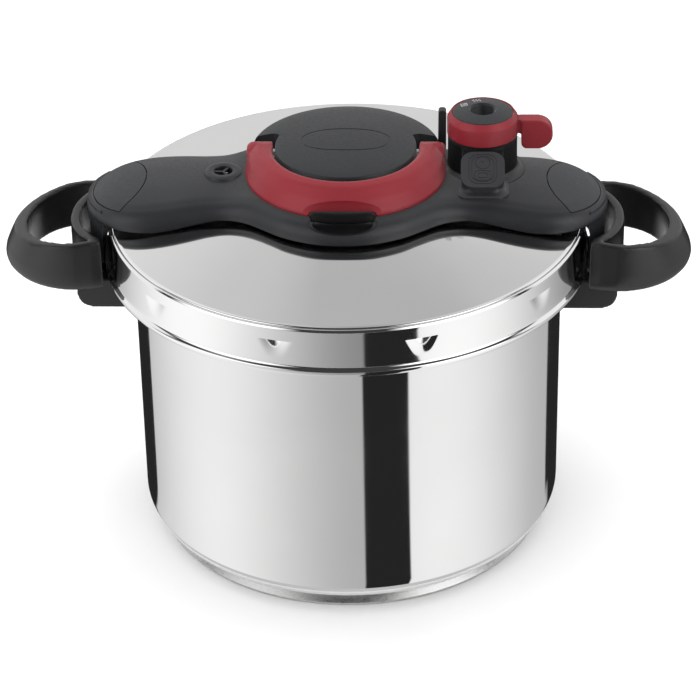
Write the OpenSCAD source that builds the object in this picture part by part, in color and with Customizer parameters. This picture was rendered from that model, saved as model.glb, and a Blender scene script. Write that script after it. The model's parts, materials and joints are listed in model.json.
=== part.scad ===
// Jaw-locked pressure cooker: pot, lid, jaw mechanism, steam valve and folding handles.
// Millimetres, +Z up, origin at the centre of the pot's underside, side handles along X.

/* [Pot] */
// Outer radius of the pot wall
pot_r = 111; // [108:0.5:114]
// Thickness of the pot wall
pot_wall = 1; // [0.8:0.1:1.4]
// Height of the pot's rim above the surface it stands on
rim_z = 175; // [174.6:0.1:175.2]
// Radius of the heat-spreading base disc
base_r = 103.3; // [90:0.1:104]
// Thickness of the base disc
base_t = 5; // [3:0.5:7]
// Radius of the curve between the pot's bottom and its wall
bottom_round = 15; // [10:1:20]
// How far the rim flange stands out from the wall
flange_w = 5; // [4.5:0.1:5]

/* [Lid] */
// Radius of the domed lid's edge
lid_r = 120.9; // [120.9:0.1:121.5]
// Thickness of the lid sheet
lid_t = 1.2; // [1:0.1:1.4]
// Radius where the lid's flat rim zone meets the dome
dome_r = 111.5; // [110:0.5:112]
// Height of the dome's crest
crest_z = 190.3; // [189.8:0.1:190.5]
// Angle between neighbouring dimples
dimple_pitch = 33.7; // [33:0.1:34]
// Depth of each pressed dimple
dimple_depth = 3; // [2:0.5:3]

/* [Housing] */
// Distance from the middle to the centre of each end lobe
lobe_x = 100; // [98:1:102]
// Radius of the end lobes
lobe_r = 34; // [32:1:34]
// Half-width of the bar's waist
waist_w = 30; // [28:1:32]
// Radius of the round middle
hub_r = 59; // [57:1:60]
// Wall thickness of the housing
shell_t = 2.5; // [2:0.5:3]

/* [Opening handle] */
// Inner radius of the arch at its top
arch_in = 37.3; // [37.2:0.1:38]
// Outer radius of the arch at its foot
arch_out = 52; // [51.5:0.1:52]
// Distance of the arch's pivot behind the middle
pivot_y = 5; // [4:0.5:6]
// Height of the arch's pivot
pivot_z = 206.5; // [206.3:0.1:206.8]

/* [Jaws] */
// Half the arc that each jaw covers, in degrees
jaw_half = 29; // [20:1:29]
// Travel of each jaw between closed and open
jaw_travel = 3.6; // [3:0.1:3.6]

/* [Steam valve] */
// Position of the valve's axis along X
valve_x = 69.7; // [68:0.1:71]
// Position of the valve's axis along Y
valve_y = 8; // [7:0.5:9]
// Outer radius of the red knob ring
knob_r = 18.1; // [17.9:0.1:18.2]
// Height of the knob ring's top
knob_top = 230; // [229.8:0.1:231]

/* [Side handles] */
// Distance from the middle to the outermost point of a handle
handle_x = 178; // [176:0.5:180]
// Height of the handle's hinge pin
hinge_z = 141; // [140:0.5:142]
// Distance of the hinge pin from the middle
hinge_x = 131; // [130:0.5:132]

/* [Hidden] */
$fn = 96;

// Colours
steel = "gainsboro";
black = "#2b2d30";
gloss_black = "#17181a";
red = "#a52d37";
rubber = "#55585c";

// A small gap between pieces that are fixed together, and one between pieces that move
fit_gap = 0.05;
run_gap = 0.3;
// Overcut that keeps a cutting solid clear of the face it cuts
over = 1;

// Pot
flange_r = pot_r + flange_w;
flange_t = 2;

// Lid
edge_z = 178.4;
rim_zone_z = 179.3;
dome_k = (crest_z - rim_zone_z) / (dome_r * dome_r);
lip_drop = 2;
band_top_r = 122.6;
band_low_r = 124;
band_top_z = 177.8;
band_low_z = 158;
band_t = 1;
hem_r = 125.7;
hem_z = 155;
hem_t = 2;
dimple_top = 170.5;
dimple_low = 162.5;
dimple_half = 4.9;
dimple_turn = 2.3;
gasket_out = 113;
gasket_in = 103;

// Housing
ledge_z = 199;
lobe_top_z = 195.2;
pad_r = 31;
pad_arc_x = 139.5;
pad_arc_r = 36.5;
pad_t = 1.6;
skirt_r = 33;
skirt_z = 158;
screw_x = 84;
screw_y = 20;
recess_w = 36;
recess_floor = 191;
screw_lid_z = dome_z(norm([screw_x, screw_y]));

// Hub cap
cap_front_r = 36;
cap_back_r = 50;
notch_y = 13;

// Arch
arch_top = 214.8;
arch_end_r = 6.6;
lip_half = 16.7;
lip_back = -48;
lip_top = 203.9;
lip_t = 5.6;
arch_foot = 199.4;
shaft_r = 3;
drum_r = 5.8;
bearing_x = 30;

// Jaws
jaw_in = flange_r + 0.2;
jaw_out = jaw_in + 1.2;
jaw_top = 176.2;
jaw_low = 171.3;
arm_y = 8.5;
arm_w = 6;
arm_z = 191.3;
arm_t = 1.4;
leg_x = 113.9;
leg_t = 1.4;
arm_start = 14;

// Valve
nozzle_r = 5;
valve_lid_z = dome_z(norm([valve_x, valve_y]));
tower_r = 17.8;
tower_top = 217.7;
cap_r = 15.6;
cap_rise = 1.5;
knob_hole_r = 6.2;
tab_t = 7.8;
tab_r = 8;
tab_z = 218.5;

// Dock pad, leaning forwards in front of the tower
pad_lean = 26;
dock_half = 11.1;
dock_y = -19.9;
dock_z = 209.6;
dock_t = 2.6;
dock_round = 6.5;

// Lock pin and vent
vent_x = -63;
vent_lid_z = dome_z(norm([vent_x, 0]));

// Safety valve
safety_y = 38;
safety_lid_z = dome_z(safety_y);

// Side handles
loop_x = 138;
loop_b = 38.5;
loop_a = handle_x - loop_x;
bar_in = 38;
bar_out = 43;
loop_low = 150.3;
bracket_half = 24;
knuckle_half = 13.6;
bracket_top = 149.4;
cheek_r = 8.4;
pin_r = 2.5;
handle_screw_y = 8;
handle_screw_z = 143;

// Height of the dome's outer face at a distance r from the middle
function dome_z(r) = crest_z - dome_k * r * r;
// Smooth greatest of two values, with a blend of size k
function smax(a, b, k) = (a + b + sqrt((a - b) * (a - b) + k * k)) / 2;
// Smooth step from 0 to 1
function smooth(t) = let (u = min(1, max(0, t))) u * u * (3 - 2 * u);
// Half-width of the housing's outline, drawn in by an inset d
function hub_w(x, d) = abs(x) < hub_r - d ? sqrt(pow(hub_r - d, 2) - x * x) : 0;
function bar_w(x, d) = abs(x) < lobe_x
    ? waist_w + (lobe_r - waist_w) * smooth((abs(x) - 62) / (lobe_x - 62)) - d
    : sqrt(max(0, pow(lobe_r - d, 2) - pow(abs(x) - lobe_x, 2)));
function bar_half(x, d) = abs(x) > lobe_x ? bar_w(x, d) : smax(hub_w(x, d), bar_w(x, d), 5);
// Points along an arc of radius r, from angle a to angle b
function arc(r, a, b, n) = [for (i = [0 : n]) let (t = a + (b - a) * i / n) [r * cos(t), r * sin(t)]];
// One x position for each outline point, closer together round the lobes
function outline_x(d) = concat(
    [for (i = [0 : 12]) -lobe_x - (lobe_r - d) * cos(90 * i / 12)],
    [for (i = [1 : 39]) -lobe_x + 2 * lobe_x * i / 40],
    [for (i = [0 : 12]) lobe_x + (lobe_r - d) * sin(90 * i / 12)]);

module housing_outline(d = 0) {
    xs = outline_x(d);
    last = len(xs) - 1;
    polygon(concat(
        [for (x = xs) [x, bar_half(x, d)]],
        [for (i = [1 : last - 1]) [xs[last - i], -bar_half(xs[last - i], d)]]));
}

// The housing's side view between its lower edge and its crown, lowered by an inset d
module housing_side(d = 0) {
    half = [[134, 190.5], [128, 193.8], [115, lobe_top_z], [90, 197], [62, ledge_z]];
    low = [[52, 188.3], [66, 187], [76, 185.2], [88, 183], [98, 181.5], [134, 181.5]];
    rotate([90, 0, 0])
        translate([0, 0, -70])
            linear_extrude(140)
                polygon(concat(
                    [for (p = half) [p[0], p[1] - d]],
                    [for (i = [4 : -1 : 0]) [-half[i][0], half[i][1] - d]],
                    [for (i = [5 : -1 : 0]) [-low[i][0], low[i][1] - (d > 0 ? 20 : 0)]],
                    [for (p = low) [p[0], p[1] - (d > 0 ? 20 : 0)]]));
}

// Everything on the lid's outer side, raised by a gap
module above_dome(gap) {
    rotate_extrude()
        polygon(concat(
            [for (i = [0 : 12]) let (r = dome_r * i / 12) [r, dome_z(r) + gap]],
            [[135, edge_z + gap - 1], [135, 230], [0, 230]]));
}

// A tube between two heights
module tube(r_out, r_in, z0, z1) {
    translate([0, 0, z0])
        difference() {
            cylinder(r = r_out, h = z1 - z0);
            translate([0, 0, -over])
                cylinder(r = r_in, h = z1 - z0 + 2 * over);
        }
}

// A round bar between two heights
module rod(r, z0, z1) {
    translate([0, 0, z0])
        cylinder(r = r, h = z1 - z0);
}

// A six-sided nut between two heights, with a round bore
module nut(across, r_in, z0, z1) {
    translate([0, 0, z0])
        difference() {
            cylinder(r = across / sqrt(3), h = z1 - z0, $fn = 6);
            translate([0, 0, -over])
                cylinder(r = r_in, h = z1 - z0 + 2 * over);
        }
}

// A cylinder along X between two positions
module x_rod(r, x0, x1, y, z) {
    translate([x0, y, z])
        rotate([0, 90, 0])
            cylinder(r = r, h = x1 - x0);
}

// A cylinder along Y, centred on the X axis's plane
module y_rod(r, half, x, z) {
    translate([x, half, z])
        rotate([90, 0, 0])
            cylinder(r = r, h = 2 * half);
}

// A box between two corners
module box(low, high) {
    translate(low)
        cube(high - low);
}

// Copies of a child on the right, or mirrored to the left
module side(s) {
    if (s > 0) children();
    else mirror([1, 0, 0]) children();
}

// A helical spring of round wire, made of rings of points joined by a skin
module spring(r, wire, z0, z1, turns) {
    rings = turns * 14;
    sides = 8;
    pts = [for (i = [0 : rings]) for (j = [0 : sides - 1])
        let (a = 360 * turns * i / rings, b = 360 * j / sides,
             z = z0 + wire + (z1 - z0 - 2 * wire) * i / rings)
        [(r + wire * cos(b)) * cos(a), (r + wire * cos(b)) * sin(a), z + wire * sin(b)]];
    skin = [for (i = [0 : rings - 1]) for (j = [0 : sides - 1])
        let (a = i * sides + j, b = i * sides + (j + 1) % sides)
        [a, a + sides, b + sides, b]];
    ends = [[for (j = [0 : sides - 1]) j], [for (j = [sides - 1 : -1 : 0]) rings * sides + j]];
    polyhedron(points = pts, faces = concat(skin, ends));
}

// ---- Pot ----

module pot_profile(d) {
    r = bottom_round - d;
    z0 = base_t + bottom_round;
    polygon(concat(
        [[0, base_t + d]],
        [for (p = arc(r, -90, 0, 10)) [pot_r - bottom_round + p[0], z0 + p[1]]],
        [[pot_r - d, rim_z + (d > 0 ? over : 0)], [0, rim_z + (d > 0 ? over : 0)]]));
}

module pot_body() {
    color(steel)
        rotate_extrude()
            difference() {
                union() {
                    pot_profile(0);
                    translate([pot_r - pot_wall, rim_z - flange_t])
                        square([flange_w + pot_wall, flange_t]);
                }
                pot_profile(pot_wall);
            }
}

module base_disc() {
    color(steel)
        rotate_extrude()
            polygon([[0, 0], [base_r - 1, 0], [base_r, 1], [base_r - 3, base_t], [0, base_t]]);
}

module bracket() {
    color(gloss_black)
        difference() {
            union() {
                box([pot_r - 4, -bracket_half, hinge_z - cheek_r], [hinge_x, bracket_half, bracket_top]);
                y_rod(cheek_r, bracket_half, hinge_x, hinge_z);
            }
            // The pot's wall
            rod(pot_r + fit_gap, hinge_z - 20, hinge_z + 20);
            // The slot for the handle's knuckle
            box([124, -knuckle_half - run_gap, hinge_z - 15], [145, knuckle_half + run_gap, hinge_z + 15]);
            y_rod(pin_r + 0.05, bracket_half + over, hinge_x, hinge_z);
            for (s = [-1, 1]) {
                x_rod(2.1, pot_r - 5, 130, s * handle_screw_y, handle_screw_z);
                x_rod(4.3, 118, 130, s * handle_screw_y, handle_screw_z);
            }
        }
}

module bracket_left() { side(-1) bracket(); }
module bracket_right() { side(1) bracket(); }

module bracket_screws() {
    color(steel)
        for (s = [-1, 1])
            side(s)
                for (t = [-1, 1]) {
                    x_rod(2.05, pot_r + 0.1, 118.05, t * handle_screw_y, handle_screw_z);
                    difference() {
                        x_rod(4, 118.05, 120.6, t * handle_screw_y, handle_screw_z);
                        x_rod(1.5, 119.2, 122, t * handle_screw_y, handle_screw_z);
                    }
                }
}

module handle_pins() {
    color(steel)
        for (s = [-1, 1])
            side(s)
                y_rod(pin_r, bracket_half - 0.5, hinge_x, hinge_z);
}

// Plan of the loop: an oval with the housing's end bitten out of it, and its finger hole
module loop_plan() {
    difference() {
        union() {
            translate([loop_x, 0])
                scale_oval(loop_a, loop_b);
            polygon([[120, -33.5], [128, -37], [loop_x, -loop_b], [loop_x, loop_b], [128, 37], [120, 33.5]]);
        }
        translate([lobe_x, 0]) circle(r = bar_in);
        circle(r = 128.3);
        difference() {
            translate([loop_x, 0])
                scale_oval(loop_a - 10.5, loop_b - 6);
            translate([lobe_x, 0]) circle(r = bar_out);
        }
    }
}

// An oval with half-axes a and b
module scale_oval(a, b) {
    polygon([for (i = [0 : 59]) [a * cos(6 * i), b * sin(6 * i)]]);
}

module fold_handle() {
    color(gloss_black)
        union() {
            intersection() {
                translate([0, 0, loop_low]) linear_extrude(40) loop_plan();
                rotate([90, 0, 0])
                    translate([0, 0, -50])
                        linear_extrude(100)
                            polygon([
                                [110, loop_low], [handle_x - 4, loop_low], [handle_x, 154.5],
                                [handle_x - 0.5, 160], [handle_x - 6, 170.5], [150, 174], [110, 177]]);
            }
            // Knuckle on the hinge pin, with its web up to the inner bar
            difference() {
                union() {
                    y_rod(5.5, knuckle_half, hinge_x, hinge_z);
                    rotate([90, 0, 0])
                        translate([0, 0, -knuckle_half])
                            linear_extrude(2 * knuckle_half)
                                polygon([
                                    [hinge_x - 3, hinge_z + 4.6], [hinge_x + 5, hinge_z + 2.2],
                                    [142, loop_low + 1], [142, 158], [138, 158]]);
                }
                y_rod(pin_r + 0.05, knuckle_half + over, hinge_x, hinge_z);
                translate([lobe_x, 0, loop_low - 0.2]) cylinder(r = bar_in, h = 20);
            }
        }
}

module fold_handle_left() { side(-1) fold_handle(); }
module fold_handle_right() { side(1) fold_handle(); }

// ---- Lid ----

module lid_shell() {
    color(steel)
        difference() {
            rotate_extrude()
                polygon(concat(
                    [for (i = [0 : 16]) let (r = dome_r * i / 16) [r, dome_z(r)]],
                    [[lid_r - 0.6, edge_z + 0.05], [lid_r, edge_z - 0.6], [lid_r, edge_z - lip_drop],
                     [lid_r - 1, edge_z - lip_drop], [lid_r - 1, edge_z - lid_t]],
                    [for (i = [16 : -1 : 0]) let (r = dome_r * i / 16) [r, dome_z(r) - lid_t]]));
            // Slots for the jaw arms' legs
            for (s = [-1, 1])
                box([s > 0 ? leg_x - 0.35 : -leg_x - leg_t - jaw_travel - 0.35, -s * arm_y - arm_w / 2 - 0.4, 170],
                    [s > 0 ? leg_x + leg_t + jaw_travel + 0.35 : -leg_x + 0.35, -s * arm_y + arm_w / 2 + 0.4, 185]);
            translate([valve_x, valve_y, 0]) rod(nozzle_r + fit_gap, 175, 190);
            translate([vent_x, 0, 0]) rod(3.6 + fit_gap, 175, 190);
            translate([0, safety_y, 0]) rod(4 + fit_gap, 175, 190);
            screw_places() rod(2.1, 175, 190);
        }
}

module band_profile(d) {
    polygon([
        [band_top_r - 1.4 - d, band_top_z - d], [band_top_r - d - 0.3, band_top_z - 0.4 - d],
        [band_top_r - d, band_top_z - 1.4 - d], [band_low_r - d, band_low_z],
        [hem_r - d, hem_z + 1], [hem_r - d, hem_z - 1], [100, hem_z - 1], [100, band_top_z - d]]);
}

// Half section of a dimple: flat on top, falling outwards below
module dimple_profile(d) {
    polygon([
        [band_low_r + 4, dimple_top + d], [band_low_r - dimple_depth - d, dimple_top + d],
        [band_low_r - dimple_depth - d, dimple_top - 2.5], [band_low_r - d, dimple_low - d],
        [band_low_r + 4, dimple_low - d]]);
}

module dimples(d, grow) {
    for (half = [0, 180], i = [-1.5 : 1.5])
        rotate(half + 90 + dimple_turn + i * dimple_pitch - dimple_half - grow)
            rotate_extrude(angle = 2 * (dimple_half + grow))
                dimple_profile(d);
}

module lid_band() {
    color(steel)
        difference() {
            union() {
                rotate_extrude()
                    difference() {
                        band_profile(0);
                        band_profile(band_t);
                        translate([100, 150]) square([lid_r + fit_gap - 100, 30]);
                    }
                rotate_extrude()
                    difference() {
                        translate([hem_r - hem_t, hem_z - 1.6]) square([hem_t, 3.2]);
                        translate([hem_r - hem_t - 1, hem_z + 1.2]) square([1.4, 2]);
                    }
                intersection() {
                    dimples(band_t, 0.5);
                    rotate_extrude() difference() {
                        band_profile(0);
                        translate([90, 140]) square([band_low_r - dimple_depth - band_t - 90, 50]);
                    }
                }
            }
            dimples(0, 0);
        }
}

module gasket() {
    color(rubber)
        rotate_extrude()
            polygon([
                [gasket_in, 177.3], [gasket_in + 2, 175.6], [pot_r - 2, 175.1], [gasket_out, 175.1],
                [gasket_out, 177.6], [gasket_in + 3, 178.1]]);
}

// The four places where a screw holds the housing on the lid
module screw_places() {
    for (x = [-screw_x, screw_x])
        for (y = [-screw_y, screw_y])
            translate([x, y, 0]) children();
}

module housing() {
    color(black)
        difference() {
            union() {
                difference() {
                    union() {
                        intersection() {
                            housing_side();
                            union() {
                                translate([0, 0, 180]) linear_extrude(12) housing_outline();
                                translate([0, 0, 192]) linear_extrude(3) housing_outline(1);
                                translate([0, 0, 195]) linear_extrude(5) housing_outline(3);
                            }
                        }
                    }
                    intersection() {
                        housing_side(shell_t);
                        translate([0, 0, 170]) linear_extrude(30) housing_outline(shell_t + 2);
                    }
                }
                // Skirts outside the band at both ends
                for (s = [-1, 1])
                    intersection() {
                        translate([s * lobe_x, 0, skirt_z]) cylinder(r = skirt_r, h = 190 - skirt_z);
                        difference() {
                            rod(140, skirt_z, 190);
                            rod(hem_r + 0.5, skirt_z - over, 191);
                        }
                    }
                // Bosses for the screws
                intersection() {
                    screw_places() rod(4.5, 182, 196);
                    above_dome(0.8);
                    housing_side();
                }
                // Pocket behind the grip lip
                intersection() {
                    box([-recess_w / 2 - 2, -60, 189.2], [recess_w / 2 + 2, -43, ledge_z]);
                    translate([0, 0, 180]) linear_extrude(30) housing_outline();
                }
                // Bearings of the cam shaft
                for (s = [-1, 1])
                    side(s) {
                        box([bearing_x - 1, pivot_y - 4, ledge_z - 2], [bearing_x + 1.6, pivot_y + 4, pivot_z]);
                        x_rod(4, bearing_x - 1, bearing_x + 1.6, pivot_y, pivot_z);
                    }
            }
            box([-recess_w / 2, -61, recess_floor], [recess_w / 2, -45, ledge_z + over]);
            x_rod(shaft_r + 0.05, -40, 40, pivot_y, pivot_z);
            // Openings for the jaw arms' followers
            for (s = [-1, 1])
                box([s > 0 ? arm_start - 1 : -arm_start - 10, -s * arm_y - 4, 190],
                    [s > 0 ? arm_start + 10 : -arm_start + 1, -s * arm_y + 4, 205]);
            screw_places() rod(2.1, 178, 194);
            translate([valve_x, valve_y, 0]) rod(12, 185, 205);
            translate([vent_x, 0, 0]) rod(9.6 + fit_gap, 185, 205);
            for (s = [-1, 1]) side(s) end_pad_space(fit_gap);
            // Clearance round the jaws' legs at full travel
            for (s = [-1, 1])
                side(s) box([110, -s * arm_y - 5, 150], [leg_x + leg_t + jaw_travel + 1, -s * arm_y + 5, arm_z + 3]);
        }
}

module end_pad_space(grow) {
    intersection() {
        difference() {
            housing_side();
            translate([0, 0, -pad_t - grow]) housing_side();
        }
        translate([0, 0, 185])
            linear_extrude(16)
                intersection() {
                    translate([lobe_x, 0]) circle(r = pad_r - 1 + grow);
                    translate([pad_arc_x, 0]) circle(r = pad_arc_r + grow);
                }
    }
}

module end_pad_right() { color(rubber) end_pad_space(0); }
module end_pad_left() { side(-1) end_pad_right(); }

module housing_screws() {
    color(steel)
        screw_places() {
            rod(2.05, screw_lid_z - 3.4, 193.4);
            rod(4, screw_lid_z - 4, screw_lid_z - 2);
        }
}

module hub_cap() {
    color(black)
        difference() {
            union() {
                rotate_extrude()
                    polygon([[0, 200], [cap_front_r, 200], [cap_front_r, 213.6], [cap_front_r - 1.2, 215],
                             [26, 216.4], [12, 217], [0, 217]]);
                intersection() {
                    rotate_extrude()
                        polygon([[0, ledge_z + 0.2], [cap_back_r, ledge_z + 0.2], [cap_back_r, 209.5],
                                 [cap_back_r - 1.5, 211], [cap_front_r, 214.4], [0, 214.4]]);
                    box([-60, notch_y, 190], [60, 60, 220]);
                }
                intersection() {
                    rotate_extrude()
                        polygon([[0, ledge_z + 0.2], [cap_front_r, ledge_z + 0.2],
                                 [cap_front_r, 201], [0, 201]]);
                    box([-60, -60, 190], [60, 60, 220]);
                }
            }
            // Hollow underside
            rod(cap_front_r - 2.4, 190, 212.6);
            intersection() {
                rod(cap_back_r - 2.4, 190, 208);
                box([-60, notch_y + 2.4, 190], [60, 60, 208]);
            }
            // Notches for the cam shaft
            box([-cap_front_r - 1, pivot_y - 3.4, 190], [cap_front_r + 1, pivot_y + 3.4, pivot_z + 3.4]);
        }
}

module opening_handle() {
    color(red)
        difference() {
            union() {
                // Front half of a tapered ring
                intersection() {
                    rotate_extrude()
                        polygon([[arch_in, arch_top - 1], [arch_in + 1.5, arch_top], [arch_in + 5, arch_top - 0.8],
                                 [arch_out - 4.5, arch_foot + 9], [arch_out - 1, arch_foot + 3.5], [arch_out, arch_foot + 1],
                                 [arch_out - 0.6, arch_foot],
                                 [arch_in + 2, arch_foot], [arch_in, arch_foot + 3]]);
                    box([-51.4, -60, 190], [51.4, pivot_y, 220]);
                }
                for (s = [-1, 1])
                    side(s) x_rod(arch_end_r, arch_in, arch_in + 12, pivot_y, pivot_z);
            }
            // Keep the ends within the round of the pivot
            for (s = [-1, 1])
                side(s) {
                    difference() {
                        box([30, pivot_y - 4, pivot_z + 0.01], [60, 20, 220]);
                        x_rod(8, 29, 61, pivot_y, pivot_z);
                    }
                    x_rod(shaft_r + fit_gap, 30, arch_in + 8, pivot_y, pivot_z);
                }
            // Seat for the grip lip
            box([-lip_half - fit_gap, -60, 190], [lip_half + fit_gap, lip_back + fit_gap, lip_top + fit_gap]);
        }
}

module grip_lip() {
    color(black)
        intersection() {
            box([-lip_half, -60, lip_top - lip_t], [lip_half, lip_back, lip_top]);
            rod(arch_out + 3.4, 190, 210);
        }
}

module cam_shaft() {
    color(steel)
        union() {
            x_rod(shaft_r, -arch_in - 7, arch_in + 7, pivot_y, pivot_z);
            for (s = [-1, 1])
                side(s) x_rod(drum_r, arm_start, bearing_x - 1.5, pivot_y, pivot_z);
        }
}

// ---- Jaws ----

module jaw() {
    color(steel)
        rotate(-jaw_half)
            union() {
                rotate_extrude(angle = 2 * jaw_half)
                    translate([jaw_in, jaw_low]) square([jaw_out - jaw_in, jaw_top - jaw_low]);
                rotate_extrude(angle = 2 * jaw_half)
                    translate([113.4, jaw_top - 1]) square([jaw_out - 113.4, 1]);
                rotate(jaw_half)
                    translate([0, 0, jaw_low])
                        linear_extrude(1.5)
                            intersection() {
                                difference() {
                                    circle(r = jaw_out);
                                    translate([-jaw_travel, 0]) circle(r = flange_r + 0.4);
                                }
                                polygon([[0, 0], [150, -150 * tan(jaw_half)], [150, 150 * tan(jaw_half)]]);
                            }
            }
}

module jaw_right() { side(1) jaw(); }
module jaw_left() { side(-1) jaw(); }

// A flat arm with a leg down to the jaw and a follower up to the cam shaft
module jaw_arm(s) {
    color(steel)
        rotate(s > 0 ? 0 : 180)
            union() {
                box([arm_start, -arm_y - arm_w / 2, arm_z], [leg_x + leg_t, -arm_y + arm_w / 2, arm_z + arm_t]);
                box([leg_x, -arm_y - arm_w / 2, jaw_top], [leg_x + leg_t, -arm_y + arm_w / 2, arm_z + arm_t]);
                box([arm_start, -arm_y - arm_w / 2, arm_z], [arm_start + 2, -arm_y + arm_w / 2, 198.6]);
            }
}

module jaw_arm_right() { jaw_arm(1); }
module jaw_arm_left() { jaw_arm(-1); }

module arm_guides() {
    color(black)
        for (s = [-1, 1])
            rotate(s > 0 ? 0 : 180)
                for (x = [40, 84])
                    difference() {
                        intersection() {
                            box([x, -arm_y - 6, 180], [x + 8, -arm_y + 6, arm_z + 2.8]);
                            above_dome(0.1);
                        }
                        box([x - 1, -arm_y - arm_w / 2 - 0.3, arm_z - 0.3],
                            [x + 9, -arm_y + arm_w / 2 + 0.3, arm_z + arm_t + 0.3]);
                    }
}

// ---- Steam valve ----

// The plane that the dock pad lies on, with children set out from its middle
module dock_plane() {
    translate([valve_x, dock_y, dock_z])
        rotate([pad_lean, 0, 0])
            children();
}

module valve_tower() {
    color(black)
        difference() {
            union() {
                translate([valve_x, valve_y, 0]) {
                    tube(tower_r, 11, 198.4, tower_top);
                    tube(11.8, 9.5, 192, 200);
                }
                // Pedestal under the dock pad
                intersection() {
                    box([valve_x - 10.2, -25.2, 196], [valve_x + 10.2, valve_y - 12, 216]);
                    dock_plane() translate([0, 0, -20]) rod(40, 0, 20 - fit_gap);
                }
            }
            translate([valve_x, valve_y, 0]) {
                rod(9.5, 190, 230);
                rod(11, 198.4, 230);
            }
            // The housing's crown below
            intersection() {
                difference() {
                    box([40, -40, 180], [100, 40, 205]);
                    translate([valve_x, valve_y, 0]) rod(11.85, 180, 206);
                }
                translate([0, 0, fit_gap]) housing_side();
            }
        }
}

module valve_nozzle() {
    color(steel)
        translate([valve_x, valve_y, 0])
            difference() {
                union() {
                    rod(nozzle_r, valve_lid_z - 8, 212);
                    rod(7.5, valve_lid_z + 1.1, valve_lid_z + 3);
                }
                rod(1.6, 170, 213);
            }
}

module nozzle_nut() {
    color(steel)
        translate([valve_x, valve_y, 0])
            nut(15, nozzle_r + fit_gap, valve_lid_z - 6.8, valve_lid_z - 2.5);
}

module valve_poppet() {
    color(steel)
        translate([valve_x, valve_y, 0])
            difference() {
                union() {
                    rod(9.9, 206, 214.8);
                    rod(5.4, 214.8, 217.1);
                }
                rod(nozzle_r + run_gap, 205, 212.1);
            }
}

module valve_spring() {
    color(steel)
        translate([valve_x, valve_y, 0])
            spring(8.8, 0.5, 214.9, 225.9, 5);
}

module knob_ring() {
    color(red)
        difference() {
            union() {
                translate([valve_x, valve_y, 0])
                    rotate_extrude()
                        polygon([[cap_r, 218], [knob_r, 218], [knob_r, 226.5], [knob_r - 0.6, 228.2],
                                 [knob_r - 2.1, knob_top], [cap_r, knob_top]]);
                // Thumb tab on a short neck
                translate([valve_x, valve_y - 3, 0])
                    box([knob_r - 1, 0, tab_z], [knob_r + 4, 6, tab_z + tab_r]);
                translate([valve_x + knob_r + 1.6, valve_y + tab_t / 2, tab_z])
                    rotate([90, 0, 0])
                        linear_extrude(tab_t)
                            union() {
                                translate([tab_r, 0]) circle(r = tab_r);
                                square([tab_r, tab_r]);
                                translate([0, -5]) square([tab_r, 6]);
                                translate([3, -tab_r]) square([5, 8]);
                                translate([3, 3 - tab_r]) circle(r = 3);
                            }
            }
            translate([valve_x, valve_y, 0]) rod(cap_r, 214, 231);
        }
}

module knob_cap() {
    color(black)
        translate([valve_x, valve_y, 0])
            rotate_extrude()
                polygon([
                    [knob_hole_r, knob_top + cap_rise], [cap_r - fit_gap, knob_top - 0.3],
                    [cap_r - fit_gap, 218.2], [12, 218.2], [12, 226], [knob_hole_r + 1.2, 226],
                    [knob_hole_r + 1.2, 219.6], [knob_hole_r, 219.6]]);
}

module position_fin() {
    color(black)
        rotate([90, 0, 0])
            translate([0, 0, -24])
                linear_extrude(4.8)
                    polygon([[46.8, ledge_z + 0.2], [51.1, ledge_z + 0.2], [51.1, 223.2], [50.2, 224.5],
                             [47.9, 224.5], [47, 223.2]]);
}

// A square with rounded corners
module dock_outline() {
    inner = dock_half - dock_round;
    square([2 * dock_half, 2 * inner], center = true);
    square([2 * inner, 2 * dock_half], center = true);
    for (x = [-inner, inner], y = [-inner, inner])
        translate([x, y]) circle(r = dock_round);
}

module dock_pad() {
    color(rubber)
        dock_plane()
            difference() {
                linear_extrude(dock_t)
                    dock_outline();
                // The tower's front
                rotate([-pad_lean, 0, 0])
                    translate([0, valve_y - dock_y, -dock_z])
                        rod(tower_r + fit_gap, 190, 220);
            }
}

// ---- Safety parts ----

module vent_grille() {
    color(black)
        translate([vent_x, 0, 0]) {
            tube(9.6, 4.8, 196.8, 200.4);
            difference() {
                for (a = [90, 210, 330])
                    rotate(a) box([0, -0.7, 198.4], [5.4, 0.7, 200]);
                rod(0.4, 195, 198);
            }
        }
}

module lock_pin() {
    color(steel)
        translate([vent_x, 0, 0]) {
            rod(2.4, vent_lid_z - 5, 194);
            rod(3.9, vent_lid_z + 3.3, vent_lid_z + 5);
        }
}

module pin_bush() {
    color(rubber)
        translate([vent_x, 0, 0])
            difference() {
                union() {
                    rod(3.6, vent_lid_z - 3, vent_lid_z + 1);
                    rod(5, vent_lid_z + 0.9, vent_lid_z + 3);
                }
                rod(2.4 + 0.08, 170, 200);
            }
}

module safety_valve() {
    color(steel)
        translate([0, safety_y, 0])
            difference() {
                union() {
                    rod(4, safety_lid_z - 7, safety_lid_z + 1);
                    rod(6, safety_lid_z + 0.9, safety_lid_z + 6.8);
                }
                rod(1.3, 170, 200);
                rod(4.2, safety_lid_z + 1.9, 200);
            }
}

module safety_nut() {
    color(steel)
        translate([0, safety_y, 0])
            nut(13, 4 + fit_gap, safety_lid_z - 6.2, safety_lid_z - 1.9);
}

module safety_plunger() {
    color(steel)
        translate([0, safety_y, 0]) {
            rod(3.4, safety_lid_z + 2, safety_lid_z + 3);
            rod(1.2, safety_lid_z + 2.9, safety_lid_z + 5);
        }
}

module safety_spring() {
    color(steel)
        translate([0, safety_y, 0])
            spring(2.4, 0.35, safety_lid_z + 3.1, safety_lid_z + 7.3, 3);
}

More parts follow.
